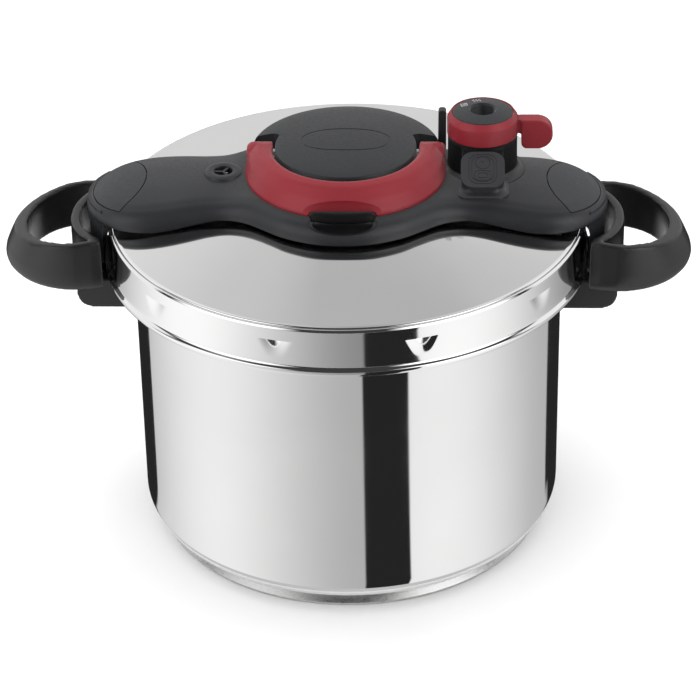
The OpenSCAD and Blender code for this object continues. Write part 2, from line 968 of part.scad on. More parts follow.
pot_body();
base_disc();
bracket_left();
bracket_right();
bracket_screws();
handle_pins();
fold_handle_left();
fold_handle_right();
lid_shell();
lid_band();
gasket();
housing();
housing_screws();
end_pad_left();
end_pad_right();
hub_cap();
opening_handle();
grip_lip();
cam_shaft();
jaw_left();
jaw_right();
jaw_arm_left();
jaw_arm_right();
arm_guides();
valve_tower();
valve_nozzle();
nozzle_nut();
valve_poppet();
valve_spring();
knob_ring();
knob_cap();
position_fin();
dock_pad();
vent_grille();
lock_pin();
pin_bush();
safety_valve();
safety_nut();
safety_plunger();
safety_spring();
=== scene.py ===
"""Looks of the jaw-locked pressure cooker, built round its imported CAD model.

Shapes are worked out in millimetres from the CAD nodes' boxes and made in metres.
"""

import json
import math

import bpy
import numpy as np
from mathutils import Matrix, Vector


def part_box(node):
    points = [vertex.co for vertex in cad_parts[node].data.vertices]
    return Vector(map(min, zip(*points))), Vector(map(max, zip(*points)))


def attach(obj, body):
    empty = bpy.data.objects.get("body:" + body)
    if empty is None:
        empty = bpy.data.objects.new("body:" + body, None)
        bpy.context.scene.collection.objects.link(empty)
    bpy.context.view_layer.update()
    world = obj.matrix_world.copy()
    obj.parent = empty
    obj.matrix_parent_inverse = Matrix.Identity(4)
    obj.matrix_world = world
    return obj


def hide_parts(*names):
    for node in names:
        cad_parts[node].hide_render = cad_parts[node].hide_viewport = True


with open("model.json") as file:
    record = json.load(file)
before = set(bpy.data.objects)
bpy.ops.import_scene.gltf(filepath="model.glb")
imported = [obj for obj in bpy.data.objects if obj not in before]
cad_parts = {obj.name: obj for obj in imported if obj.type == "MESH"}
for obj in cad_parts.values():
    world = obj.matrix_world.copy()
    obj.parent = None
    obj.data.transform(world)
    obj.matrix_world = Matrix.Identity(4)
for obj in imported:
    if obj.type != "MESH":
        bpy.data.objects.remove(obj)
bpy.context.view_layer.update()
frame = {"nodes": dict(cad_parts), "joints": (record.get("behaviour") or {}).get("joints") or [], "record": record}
MM = 0.001


class Box:
    """A CAD node's box in millimetres."""

    def __init__(self, node):
        low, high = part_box(node)
        self.x0, self.y0, self.z0 = (v / MM for v in low)
        self.x1, self.y1, self.z1 = (v / MM for v in high)
        self.cx, self.cy = (self.x0 + self.x1) / 2, (self.y0 + self.y1) / 2


# ---- Sizes, from the CAD boxes ----
POT, BASE, BAND, LID = Box("pot_body"), Box("base_disc"), Box("lid_band"), Box("lid_shell")
HOUSING, CAP, ARCH, LIP = Box("housing"), Box("hub_cap"), Box("opening_handle"), Box("grip_lip")
PAD, RING, KNOB_CAP, TOWER = Box("end_pad_right"), Box("knob_ring"), Box("knob_cap"), Box("valve_tower")
FIN, DOCK, VENT = Box("position_fin"), Box("dock_pad"), Box("vent_grille")
LOOP, BRACKET = Box("fold_handle_right"), Box("bracket_right")
joint_by_name = {j["name"]: j for j in frame["joints"]}
PIVOT = [v / MM for v in joint_by_name["arch_hinge"]["pos_m"]]
HINGE = [v / MM for v in joint_by_name["handle_right_fold"]["pos_m"]]
KNOB = [v / MM for v in joint_by_name["knob_turn"]["pos_m"]]


# ---- Camera ----
VIEW_AZIMUTH = math.radians(2.493)


def make_camera():
    """Puts a long lens at the reference view's angle, a touch rolled."""
    azimuth, elevation, roll = VIEW_AZIMUTH, math.radians(31.394), math.radians(-1.082)
    distance, target = 1.5194, Vector((0.0003, 0, 0.0925))
    back = Vector((math.sin(azimuth) * math.cos(elevation), -math.cos(azimuth) * math.cos(elevation),
                   math.sin(elevation)))
    right = Vector((math.cos(azimuth), math.sin(azimuth), 0))
    up = back.cross(right)
    x = right * math.cos(roll) + up * math.sin(roll)
    y = up * math.cos(roll) - right * math.sin(roll)
    data = bpy.data.cameras.new("camera")
    data.lens, data.sensor_width = 147.1, 36
    cam = bpy.data.objects.new("camera", data)
    bpy.context.collection.objects.link(cam)
    axes = Matrix((x, y, back)).transposed().to_4x4()
    cam.matrix_world = Matrix.Translation(target + back * distance) @ axes
    bpy.context.scene.camera = cam


make_camera()


# ---- Mesh tools ----
def new_object(name, verts, faces, sharp=35):
    """Makes an object from points in millimetres, smooth except over sharp edges."""
    mesh = bpy.data.meshes.new(name)
    mesh.from_pydata((np.asarray(verts, dtype=float) * MM).tolist(), [], faces)
    obj = bpy.data.objects.new(name, mesh)
    bpy.context.collection.objects.link(obj)
    return finish_mesh(obj, sharp)


def finish_mesh(obj, sharp=35):
    """Cleans doubled points, turns the faces outwards and sets the smoothing."""
    import bmesh
    bm = bmesh.new()
    bm.from_mesh(obj.data)
    bmesh.ops.remove_doubles(bm, verts=bm.verts, dist=0.002 * MM)
    bmesh.ops.dissolve_degenerate(bm, edges=bm.edges, dist=0.001 * MM)
    bmesh.ops.recalc_face_normals(bm, faces=bm.faces)
    if bm.calc_volume(signed=True) < 0:
        bmesh.ops.reverse_faces(bm, faces=bm.faces)
    bm.to_mesh(obj.data)
    bm.free()
    obj.data.polygons.foreach_set("use_smooth", [True] * len(obj.data.polygons))
    obj.data.set_sharp_from_angle(angle=math.radians(sharp))
    return obj


def grid_faces(rows, cols, wrap_rows, wrap_cols):
    """Quads over a grid of points held row by row."""
    faces = []
    for i in range(rows if wrap_rows else rows - 1):
        for j in range(cols if wrap_cols else cols - 1):
            a, b = i * cols + j, i * cols + (j + 1) % cols
            c, d = ((i + 1) % rows) * cols + (j + 1) % cols, ((i + 1) % rows) * cols + j
            faces.append((a, b, c, d))
    return faces


def rounded(points, closed=True, steps=6):
    """A polyline of (u, v, radius) corners, each one rounded by its radius."""
    out, n = [], len(points)
    for i, (u, v, r) in enumerate(points):
        if r <= 0 or (not closed and i in (0, n - 1)):
            out.append((u, v))
            continue
        p, a, b = np.array((u, v)), np.array(points[i - 1][:2]), np.array(points[(i + 1) % n][:2])
        da, db = (a - p) / np.linalg.norm(a - p), (b - p) / np.linalg.norm(b - p)
        half = math.acos(max(-1, min(1, float(da @ db)))) / 2
        if abs(half - math.pi / 2) < 0.02:
            out.append((u, v))
            continue
        reach = min(r / math.tan(half), 0.49 * np.linalg.norm(a - p), 0.49 * np.linalg.norm(b - p))
        r = reach * math.tan(half)
        centre = p + (da + db) / np.linalg.norm(da + db) * r / math.sin(half)
        start, end = p + da * reach - centre, p + db * reach - centre
        turn = math.atan2(start[0] * end[1] - start[1] * end[0], float(start @ end))
        for k in range(steps + 1):
            t = turn * k / steps
            out.append(tuple(centre + (start[0] * math.cos(t) - start[1] * math.sin(t),
                                       start[0] * math.sin(t) + start[1] * math.cos(t))))
    return out


def revolve(name, profile, centre=(0, 0), segments=256, sharp=35):
    """A closed (radius, height) outline turned round a vertical axis."""
    angles = np.linspace(0, 2 * math.pi, segments, endpoint=False)
    pts = [(centre[0] + r * math.cos(a), centre[1] + r * math.sin(a), z) for r, z in profile for a in angles]
    return new_object(name, pts, grid_faces(len(profile), segments, True, True), sharp)


def prism(name, outline, low, high, sharp=35):
    """An upright prism over a closed (x, y) outline. Heights may be numbers or functions of x and y."""
    n = len(outline)
    z0 = low if callable(low) else lambda x, y: low
    z1 = high if callable(high) else lambda x, y: high
    pts = [(x, y, z0(x, y)) for x, y in outline] + [(x, y, z1(x, y)) for x, y in outline]
    faces = [(i, (i + 1) % n, n + (i + 1) % n, n + i) for i in range(n)]
    return new_object(name, pts, faces + [tuple(range(n)), tuple(range(2 * n - 1, n - 1, -1))], sharp)


def loft(name, rings):
    """A skin over closed (x, y) outlines with as many points each, given with their heights."""
    cols = len(rings[0][0])
    pts = [(x, y, z) for outline, z in rings for x, y in outline]
    faces = grid_faces(len(rings), cols, False, True)
    return new_object(name, pts, faces + [tuple(range(cols)),
                                          tuple(range((len(rings) - 1) * cols, len(rings) * cols))])


def fillet(outline, foot, rise):
    """A concave foot round an upright piece, whose outline is given by how far it stands off the piece."""
    turns = np.linspace(0, math.pi / 2, 9)
    rings = [(outline(rise * (1 - math.sin(t))), foot + rise * (1 - math.cos(t))) for t in turns]
    return loft("fillet", [(outline(rise), foot - 2), *rings])


def circle(r, cx=0, cy=0, n=96):
    return [(cx + r * math.cos(2 * math.pi * i / n),
             cy + r * math.sin(2 * math.pi * i / n)) for i in range(n)]


def rod(name, r, p0, p1, n=48):
    """A round bar between two points."""
    p0, p1 = Vector(p0), Vector(p1)
    turn = (p1 - p0).to_track_quat("Z", "Y")
    ends = [[p + turn @ Vector((x, y, 0)) for x, y in circle(r, n=n)] for p in (p0, p1)]
    faces = [(i, (i + 1) % n, n + (i + 1) % n, n + i) for i in range(n)]
    return new_object(name, [*ends[0], *ends[1]],
                      faces + [tuple(range(n)), tuple(range(2 * n - 1, n - 1, -1))])


def ball(name, centre, radii, n=48):
    """An ellipsoid."""
    pts = [(centre[0] + radii[0] * math.cos(v) * math.cos(u),
            centre[1] + radii[1] * math.cos(v) * math.sin(u),
            centre[2] + radii[2] * math.sin(v))
           for v in np.linspace(-1.55, 1.55, n) for u in np.linspace(0, 2 * math.pi, 2 * n, endpoint=False)]
    faces = grid_faces(n, 2 * n, False, True)
    return new_object(name, pts, faces + [tuple(range(2 * n)), tuple(range((n - 1) * 2 * n, n * 2 * n))])


def block(name, low, high):
    return prism(name, [(low[0], low[1]), (high[0], low[1]), (high[0], high[1]), (low[0], high[1])],
                 low[2], high[2])


def bake(obj, sharp=35):
    """Applies an object's modifiers."""
    graph = bpy.context.evaluated_depsgraph_get()
    mesh = bpy.data.meshes.new_from_object(obj.evaluated_get(graph))
    obj.modifiers.clear()
    old, obj.data = obj.data, mesh
    mesh.name = obj.name
    bpy.data.meshes.remove(old)
    return finish_mesh(obj, sharp)


def carve(obj, operation, *tools, keep=False, sharp=35):
    """Adds, cuts or keeps what is shared, with one tool object after another."""
    for tool in tools:
        mod = obj.modifiers.new("carve", "BOOLEAN")
        mod.operation, mod.solver, mod.object = operation, "EXACT", tool
        bake(obj, sharp)
        if not keep:
            bpy.data.objects.remove(tool)
    return obj


def copy(obj, name):
    new = obj.copy()
    new.data = obj.data.copy()
    new.name = name
    bpy.context.collection.objects.link(new)
    return new


def soften(obj, voxel, passes, sharp=60):
    """Rounds every edge: an even remesh, then smoothing."""
    mod = obj.modifiers.new("even", "REMESH")
    mod.mode, mod.voxel_size, mod.use_smooth_shade = "VOXEL", voxel * MM, True
    mod = obj.modifiers.new("smooth", "SMOOTH")
    mod.factor, mod.iterations = 0.5, passes
    return bake(obj, sharp)


def mirrored(obj, name):
    """A copy on the other side of the middle."""
    new = copy(obj, name)
    new.data.transform(Matrix.Scale(-1, 4, (1, 0, 0)))
    new.data.flip_normals()
    return new


# ---- Materials ----
class Nodes:
    """A short way to write a material's node tree."""

    def __init__(self, name):
        self.mat = bpy.data.materials.new(name)
        self.mat.use_nodes = True
        self.tree = self.mat.node_tree
        self.shader = self.tree.nodes["Principled BSDF"]
        self.place = self.add("ShaderNodeTexCoord").outputs["Object"]

    def add(self, kind, **sockets):
        node = self.tree.nodes.new(kind)
        for key, value in sockets.items():
            self.put(node, key.replace("_", " "), value)
        return node

    def put(self, node, key, value):
        socket = node.inputs[key]
        if isinstance(value, bpy.types.NodeSocket):
            self.tree.links.new(value, socket)
        else:
            socket.default_value = value

    def set(self, **sockets):
        for key, value in sockets.items():
            self.put(self.shader, key.replace("_", " "), value)
        return self

    def noise(self, scale, detail=3, stretch=(1, 1, 1)):
        mapping = self.add("ShaderNodeMapping", Vector=self.place, Scale=stretch)
        return self.add("ShaderNodeTexNoise", Vector=mapping.outputs[0], Scale=scale,
                        Detail=detail).outputs["Fac"]

    def ramp(self, value, low, high, start=0.3, end=0.7):
        """Maps a value between two colours or two greys."""
        node = self.add("ShaderNodeValToRGB", Fac=value)
        for stop, place, v in zip(node.color_ramp.elements, (start, end), (low, high)):
            stop.position = place
            stop.color = (*v, 1) if isinstance(v, tuple) else (v, v, v, 1)
        return node.outputs["Color"]

    def bump(self, height, strength, distance):
        return self.add("ShaderNodeBump", Height=height, Strength=strength,
                        Distance=distance).outputs["Normal"]


def polished_steel():
    m = Nodes("polished_steel")
    m.set(Metallic=1.0, Base_Color=m.ramp(m.noise(9), (0.80, 0.80, 0.795), (0.86, 0.86, 0.855)),
          Roughness=m.ramp(m.noise(30), 0.045, 0.075),
          Normal=m.bump(m.noise(14, 1), 0.10, 0.0006))
    return m.mat


def machined_steel():
    m = Nodes("machined_steel")
    grain = m.noise(400, 3, (1, 1, 12))
    m.set(Metallic=1.0, Base_Color=m.ramp(grain, (0.46, 0.46, 0.46), (0.60, 0.60, 0.59)),
          Roughness=m.ramp(grain, 0.25, 0.4), Normal=m.bump(grain, 0.2, 0.0001))
    return m.mat


def moulded(name, dark, light, rough, grain=0.25, specular=0.45):
    """Moulded plastic with a fine spark-eroded grain."""
    m = Nodes(name)
    m.set(Base_Color=m.ramp(m.noise(26), dark, light), Roughness=m.ramp(m.noise(700, 2), *rough),
          Normal=m.bump(m.noise(2600, 2), grain, 0.00005))
    m.shader.inputs["Specular IOR Level"].default_value = specular
    return m.mat


STEEL = polished_steel()
MACHINED = machined_steel()
SATIN_BLACK = moulded("satin_black", (0.014, 0.015, 0.017), (0.018, 0.019, 0.021), (0.38, 0.48))
SOFT_TOUCH = moulded("soft_touch", (0.022, 0.024, 0.027), (0.027, 0.029, 0.033), (0.50, 0.60))
DOCK_BLACK = moulded("dock_black", (0.019, 0.019, 0.023), (0.023, 0.023, 0.028), (0.40, 0.50))
HANDLE_BLACK = moulded("handle_black", (0.009, 0.009, 0.010), (0.012, 0.012, 0.013), (0.28, 0.36), 0.18)
RED = moulded("red_plastic", (0.20, 0.010, 0.017), (0.225, 0.013, 0.021), (0.36, 0.46), 0.18, 0.36)
HUB_BLACK = moulded("hub_black", (0.009, 0.010, 0.0115), (0.012, 0.013, 0.0145), (0.38, 0.48))
TOWER_BLACK = moulded("tower_black", (0.003, 0.003, 0.003), (0.004, 0.004, 0.004), (0.45, 0.55),
                      specular=0.15)
RUBBER = moulded("seal_rubber", (0.20, 0.20, 0.205), (0.25, 0.25, 0.255), (0.5, 0.65))
PALE_PRINT = moulded("pale_print", (0.45, 0.45, 0.45), (0.52, 0.52, 0.52), (0.45, 0.55))


def dress(obj, material, body, slot, *replaced):
    """Gives a piece its material and body, and hides the CAD nodes that it stands for; the slot is not used."""
    obj.data.materials.clear()
    obj.data.materials.append(material)
    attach(obj, body)
    if replaced:
        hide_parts(*replaced)
    return obj


def dull(*objects):
    """Keeps pieces out of the lid's mirror image, where real ones would show."""
    for obj in objects:
        obj.visible_glossy = False


# ---- Pot ----
BOTTOM_ROUND = 15
WALL = 1.0
wall_r = POT.x1 - 5
flange_low = POT.z1 - 2


def make_pot():
    profile = rounded([
        (0.01, BASE.z1, 0), (wall_r, BASE.z1, BOTTOM_ROUND), (wall_r, flange_low, 0.6),
        (POT.x1, flange_low, 0.8),
        (POT.x1, POT.z1, 0.9), (wall_r - WALL, POT.z1, 0.8),
        (wall_r - WALL, BASE.z1 + WALL, BOTTOM_ROUND - WALL),
        (0.01, BASE.z1 + WALL, 0)], steps=14)
    pot = revolve("pot", profile, segments=360)
    dress(pot, STEEL, "pot", "polished_steel", "pot_body")
    base = revolve("heat_disc", rounded([
        (0.01, BASE.z0, 0), (BASE.x1 - 1.5, BASE.z0, 1), (BASE.x1, BASE.z0 + 1.6, 1.2),
        (BASE.x1 - 3, BASE.z1, 0.6),
        (0.01, BASE.z1, 0)]), segments=300)
    dress(base, MACHINED, "pot", "polished_steel", "base_disc")


# ---- Lid ----
CONE_FROM = 58
LID_T = 1.2
lid_edge = LID.z0 + 2


def dome_z(r):
    """The lid's height: a round crown that runs out into an even slope down to the rim."""
    steep = (LID.z1 - lid_edge) / (LID.x1 - CONE_FROM / 2)
    if r < CONE_FROM:
        return LID.z1 - steep * r ** 2 / (2 * CONE_FROM)
    return LID.z1 - steep * (r - CONE_FROM / 2)


def make_lid():
    rs = np.linspace(0.01, LID.x1 - 1.6, 48)
    top = [(r, dome_z(r)) for r in rs] + rounded([
        (LID.x1 - 1.5, dome_z(LID.x1 - 1.5), 0), (LID.x1 - 0.1, lid_edge - 0.2, 0.9), (LID.x1, LID.z0, 0.3)],
        closed=False)
    under = [(LID.x1 - 1, LID.z0), (LID.x1 - 1, lid_edge - LID_T - 0.4)]
    under += [(r, dome_z(r) - LID_T) for r in rs[::-1]]
    lid = revolve("lid_dome", top + under, segments=360)
    dress(lid, STEEL, "lid", "polished_steel", "lid_shell")


# ---- Band ----
BAND_TOP_R = 122.6
BAND_LOW_R = 124
DIMPLE_TOP = 170.5
DIMPLE_TALL = 9.8
DIMPLE_HALF = math.radians(4.4)
DIMPLE_DEPTH = 1.7
DIMPLE_ANGLES = [math.radians(half + 92.3 + 33.7 * i) for half in (0, 180) for i in (-1.5, -0.5, 0.5, 1.5)]


def dimple(angle, z):
    """How far the band is pressed in: deep under a straight top edge, fading out below."""
    down = (DIMPLE_TOP - z) / DIMPLE_TALL
    if down < 0 or down > 1:
        return 0
    deep = 0
    for centre in DIMPLE_ANGLES:
        off = abs((angle - centre + math.pi) % (2 * math.pi) - math.pi) / DIMPLE_HALF
        side = off / (1 - 0.5 * down)
        if side < 1:
            deep = max(deep, (1 - side ** 2) ** 2.5 * (1 - down) ** 1.6)
    return DIMPLE_DEPTH * deep


def make_band():
    top, hem_z = BAND.z1, BAND.z0 + 1.6
    low_z = hem_z + 2.6
    heights = [z for z in np.linspace(top - 2.4, DIMPLE_TOP + 0.35, 8)] + [DIMPLE_TOP + 0.12]
    heights += [DIMPLE_TOP - DIMPLE_TALL * (k / 22) ** 1.25 for k in range(23)] + [159.4]
    wall = [(BAND_TOP_R + (BAND_LOW_R - BAND_TOP_R) * (top - z) / (top - low_z), z) for z in heights]
    lip = rounded([(LID.x1 + 0.12, top - 1.4, 0), (LID.x1 + 0.12, top - 0.1, 0.5),
                   (BAND_TOP_R - 0.7, top, 0.9),
                   (BAND_TOP_R + 0.05, top - 1.2, 1.2), wall[0] + (0,)], closed=False, steps=8)
    hem = rounded([wall[-1] + (0,), (BAND_LOW_R + 0.1, low_z, 2.2), (BAND.x1 - 0.2, hem_z + 1.3, 1.0),
                   (BAND.x1, hem_z, 1.2), (BAND.x1 - 0.6, BAND.z0, 0.8), (BAND.x1 - 2.2, BAND.z0 + 0.3, 0.8),
                   (BAND.x1 - 2.2, hem_z + 1.5, 0.8), (BAND_LOW_R - 1, low_z + 0.6, 1)], closed=False,
                   steps=8)
    inner = [(r - 1, z) for r, z in wall[::-1]] + [(LID.x1 + 0.12, top - 2.4)]
    profile = lip[:-1] + wall + hem[1:] + inner
    segments = 1080
    pts = []
    for r, z in profile:
        for k in range(segments):
            a = 2 * math.pi * k / segments
            inward = dimple(a, z) if DIMPLE_TOP - DIMPLE_TALL < z <= DIMPLE_TOP + 0.01 else 0
            pts.append(((r - inward) * math.cos(a), (r - inward) * math.sin(a), z))
    band = new_object("band", pts, grid_faces(len(profile), segments, True, True), 30)
    dress(band, STEEL, "lid", "polished_steel", "lid_band")


# ---- Housing ----
LOBE_R = HOUSING.x1 - 100
LOBE_X = HOUSING.x1 - LOBE_R
SHOULDER = 9.5
SHELL = 2.5


def through(x, knots):
    """A smooth curve through knots, level at both ends."""
    xs, ys = np.array(knots, float).T
    slopes = np.zeros(len(xs))
    slopes[1:-1] = (ys[2:] - ys[:-2]) / (xs[2:] - xs[:-2])
    i = int(np.clip(np.searchsorted(xs, x) - 1, 0, len(xs) - 2))
    w = xs[i + 1] - xs[i]
    t = min(1, max(0, (x - xs[i]) / w))
    return float((2 * t ** 3 - 3 * t ** 2 + 1) * ys[i] + (t ** 3 - 2 * t ** 2 + t) * w * slopes[i]
                 + (3 * t ** 2 - 2 * t ** 3) * ys[i + 1] + (t ** 3 - t ** 2) * w * slopes[i + 1])


def smooth_step(t):
    t = min(1, max(0, t))
    return t * t * (3 - 2 * t)


HALF_WIDTH = ((0, 59), (15, 57.1), (30, 50.6), (40, 42.9), (48, 36.6), (56, 32.6), (64, 30.8), (74, 31.0),
              (86, 32.9),
              (94, 33.8), (100, 34))


def half_width(x):
    """Half the bar's width at x, for the part between the lobes' centres."""
    return through(abs(x), HALF_WIDTH)


def housing_outline():
    """Outline points with the spine point that each one looks at."""
    out = []
    for i in range(33):
        a = math.pi / 2 - math.pi * i / 32
        out.append(((LOBE_X + LOBE_R * math.cos(a), LOBE_R * math.sin(a)), (LOBE_X, 0)))
    xs = np.concatenate([np.linspace(LOBE_X, 66, 18)[1:], np.linspace(66, 36, 26)[1:],
                         np.linspace(36, 0, 24)[1:]])
    for x in [*xs, *(-xs[:-1][::-1])]:
        out.append(((x, -half_width(x)), (x, 0)))
    right = out[:]
    return right + [((-x, -y), (-sx, -sy)) for (x, y), (sx, sy) in right]


CROWN = ((0, 199.2), (58, 199.2), (76, 198.6), (90, 197.4), (104, 196.0), (118, 194.9), (134, 193.2))
LOWER_EDGE = ((0, 188.4), (50, 188.2), (58, 187.8), (66, 186.9), (76, 184.9), (88, 182.9), (98, 181.7),
              (140, 181.5))


def along(x, knots):
    """A height that follows a few knots along the bar, the same on both sides."""
    return through(abs(x), knots)


def surface_z(x, d):
    """Top of the housing at x, for a point d inside its outline."""
    bar = smooth_step((abs(x) - 44) / 22)
    z = along(x, CROWN)
    rim = z - 3.0 * bar
    if d < SHOULDER:
        drop = min(SHOULDER * 0.92, rim - along(x, LOWER_EDGE) - 1.5)
        z -= drop * (1 - math.sqrt(max(0, 1 - ((SHOULDER - d) / SHOULDER) ** 2)))
    return z - 3.0 * bar * max(0, min(1, (30 - d) / 24)) ** 2


def make_cover():
    """The housing's shell: rings that close in on its spine on top, then its flank and hollow underside."""
    ring = housing_outline()
    n = len(ring)
    outline = np.array([p for p, _ in ring])
    step = np.roll(outline, -1, 0) - outline
    dense = np.concatenate([outline + step * t for t in (0, 0.25, 0.5, 0.75)])
    shoulder_steps = 1 - np.linspace(1, 0, 20) ** 1.7 * 0.32
    pts = []
    for t in [0, 0.15, 0.3, 0.42, 0.52, 0.6, *shoulder_steps]:
        for (x, y), (sx, sy) in ring:
            px, py = sx + (x - sx) * t, sy + (y - sy) * t
            d = 0 if t == 1 else float(np.sqrt(((dense - (px, py)) ** 2).sum(1)).min())
            pts.append((px, py, surface_z(px, d)))
    foot = [(surface_z(x, 0), along(x, LOWER_EDGE)) for (x, _), _ in ring]

    def add_row(inset, height):
        for ((x, y), (sx, sy)), (high, low) in zip(ring, foot):
            k = 1 - inset / math.hypot(x - sx, y - sy)
            pts.append((sx + (x - sx) * k, sy + (y - sy) * k, height(high, low)))

    add_row(0, lambda high, low: low + 0.8)
    add_row(0.25, lambda high, low: low + 0.2)
    add_row(0.8, lambda high, low: low)
    add_row(SHELL, lambda high, low: low)
    # Underside, one shell thickness below the top
    for inset in (SHELL + 2, 9, 14, 20, 28):
        for ((x, y), (sx, sy)), (_, low) in zip(ring, foot):
            k = 1 - inset / math.hypot(x - sx, y - sy)
            px = sx + (x - sx) * k
            pts.append((px, sy + (y - sy) * k, max(low + 1, surface_z(px, inset) - SHELL)))
    rows = len(pts) // n
    faces = grid_faces(rows, n, False, True)
    pts += [(sx, sy, surface_z(sx, 30) - SHELL) for _, (sx, sy) in ring]
    last = (rows - 1) * n
    faces += [(last + j, last + (j + 1) % n, last + n + (j + 1) % n, last + n + j) for j in range(n)]
    return new_object("housing_cover", pts, faces, 40)


PAD_ARC_X = 139.5
PAD_ARC_R = 36.5
PAD_GROOVE = 0.55


def pad_outline(grow=0):
    """The end pad's plan: an arc round the lobe, closed by an arc that bulges to the middle."""
    outer, inner = PAD.x1 - LOBE_X + grow, PAD_ARC_R + grow
    gap = PAD_ARC_X - LOBE_X
    x = (gap ** 2 + outer ** 2 - inner ** 2) / (2 * gap)
    top = math.atan2(math.sqrt(outer ** 2 - x ** 2), x)
    back = math.pi - math.atan2(math.sqrt(outer ** 2 - x ** 2), gap - x)
    arc = [(LOBE_X + outer * math.cos(a), outer * math.sin(a)) for a in np.linspace(-top, top, 60)]
    return arc + [(PAD_ARC_X + inner * math.cos(a), inner * math.sin(a))
                  for a in np.linspace(back, 2 * math.pi - back, 40)[1:-1]]


RECESS_HALF = 18
SKIRT_R = 33


def make_housing():
    cover = make_cover()
    for side, name in ((1, "right"), (-1, "left")):
        def placed(obj):
            return obj if side > 0 else flip(obj)
        pad = copy(cover, f"end_pad_{name}")
        carve(pad, "INTERSECT", placed(prism("cut", pad_outline(), 186, 210)))
        lift = copy(pad, "lift")
        for v in lift.data.vertices:
            v.co.z -= 1.6 * MM
        carve(pad, "DIFFERENCE", lift)
        dress(pad, SOFT_TOUCH, "lid", "soft_touch", f"end_pad_{name}")
        slot = copy(cover, "slot")
        carve(slot, "INTERSECT", placed(prism("cut", pad_outline(PAD_GROOVE), 186, 210)))
        lower = copy(slot, "lower")
        for v in lower.data.vertices:
            v.co.z -= 1.7 * MM
        for v in slot.data.vertices:
            v.co.z += 0.5 * MM
        carve(slot, "DIFFERENCE", lower)
        carve(cover, "DIFFERENCE", slot)
        # Skirt outside the band
        skirt = prism("skirt", circle(SKIRT_R, side * LOBE_X), HOUSING.z0, 188)
        carve(skirt, "DIFFERENCE", prism("cut", circle(BAND.x1 + 0.5, n=256), HOUSING.z0 - 1, 189),
              block("cut", (-120 * side if side > 0 else -60, -60, 150), (60 if side > 0 else 120, 60, 190)))
        carve(cover, "UNION", skirt)
    # Finger recess in front
    backing = revolve("backing", [(38, 189.0), (57, 189.0), (57, 193), (54.5, 196), (51, 198.2), (38, 198.4)])
    carve(backing, "INTERSECT", block("keep", (-21, -60, 180), (21, -30, 200)))
    carve(cover, "UNION", backing)
    carve(cover, "DIFFERENCE", ball("cut", (0, -53, 199.3), (RECESS_HALF, 7.3, 7.4)),
          ball("deep", (0, -48.5, 195.5), (16, 7, 4.6)))
    # The pressure pin's way up, under the vent
    carve(cover, "DIFFERENCE", prism("cut", circle(4.7, VENT.cx, VENT.cy), 185, 205))
    dress(cover, SATIN_BLACK, "lid", "satin_black", "housing")
    # The crown's soft rise to the steam valve
    rise = fillet(lambda grow: circle(17.7 + grow, KNOB[0], KNOB[1]), 198.2, 4.2)
    carve(rise, "UNION", fillet(desk_outline, 198.1, 3))
    carve(rise, "INTERSECT", block("keep", (0, -40, 197), (120, KNOB[1] + 12, 210)))
    carve(rise, "DIFFERENCE", prism("cut", circle(12, KNOB[0], KNOB[1]), 190, 235))
    rise.name = "housing_rise"
    dress(rise, SATIN_BLACK, "lid", "satin_black")
    dull(rise)


def flip(obj):
    obj.data.transform(Matrix.Scale(-1, 4, (1, 0, 0)))
    obj.data.flip_normals()
    return obj


# ---- Hub cap and red arch ----
FRONT_R = 36
NOTCH_Y = 13


OVAL_RADII = ((22.8, 12.3), (22, 11.5))
OVAL_Y = 2.4


def make_hub():
    ledge = CAP.z0
    crown = CAP.z1
    dome = [(0.01, crown), (9, crown - 0.08), (18, crown - 0.4), (26, crown - 0.95), (31, crown - 1.45)]
    front = revolve("hub_disc", rounded([
        *[(r, z, 0) for r, z in dome], (FRONT_R, crown - 2.1, 0.8), (FRONT_R + 0.2, crown - 6, 3),
        (FRONT_R + 0.3, ledge, 0), (0.01, ledge, 0)]), segments=300)
    back = revolve("back", rounded([
        *[(r, z, 0) for r, z in dome], (FRONT_R, crown - 1.95, 0), (CAP_BACK_R - 8, crown - 2.7, 0),
        (CAP_BACK_R - 2.2, crown - 3.9, 2.5), (CAP_BACK_R + 0.2, crown - 9, 4), (CAP_BACK_R + 0.6, ledge, 0),
        (0.01, ledge, 0)]), segments=300)
    carve(back, "INTERSECT", prism("keep", rounded([
        (-60, NOTCH_Y, 0), (-FRONT_R, NOTCH_Y, 4), (-FRONT_R + 4, NOTCH_Y - 5, 0),
        (FRONT_R - 4, NOTCH_Y - 5, 0),
        (FRONT_R, NOTCH_Y, 4), (60, NOTCH_Y, 0), (60, 60, 0), (-60, 60, 0)]), 190, 220))
    carve(front, "UNION", back)
    # Plain oval, engraved
    def bent(value):
        return math.copysign(abs(value) ** 0.85, value)

    turns = np.linspace(0, 2 * math.pi, 120, endpoint=False)
    ovals = [[(a * bent(math.cos(t)), OVAL_Y + b * bent(math.sin(t))) for t in turns] for a, b in OVAL_RADII]
    outer = prism("outer", ovals[0], crown - 1.3, crown + 1)
    inner = prism("inner", ovals[1], crown - 2, crown + 2)
    carve(outer, "DIFFERENCE", inner)
    floor = copy(front, "floor")
    for v in floor.data.vertices:
        v.co.z -= 0.35 * MM
    carve(outer, "DIFFERENCE", floor)
    carve(front, "DIFFERENCE", outer)
    # Slots for the cam shaft
    carve(front, "DIFFERENCE", block("cut", (-60, PIVOT[1] - 3.4, ledge - 1),
                                     (60, PIVOT[1] + 3.4, PIVOT[2] + 3.4)))
    dress(front, HUB_BLACK, "lid", "satin_black", "hub_cap")
    dull(front)


CAP_BACK_R = 50
ARCH_IN = 37.3
ARCH_END_R = 6.8
ARCH_OUT = 52
SCOOP_REACH = math.radians(22)
SCOOP_R = 56.5
SCOOP_Z = 205.5
SCOOP_OFF = 5.6
SCOOP_DEPTH = 3.4


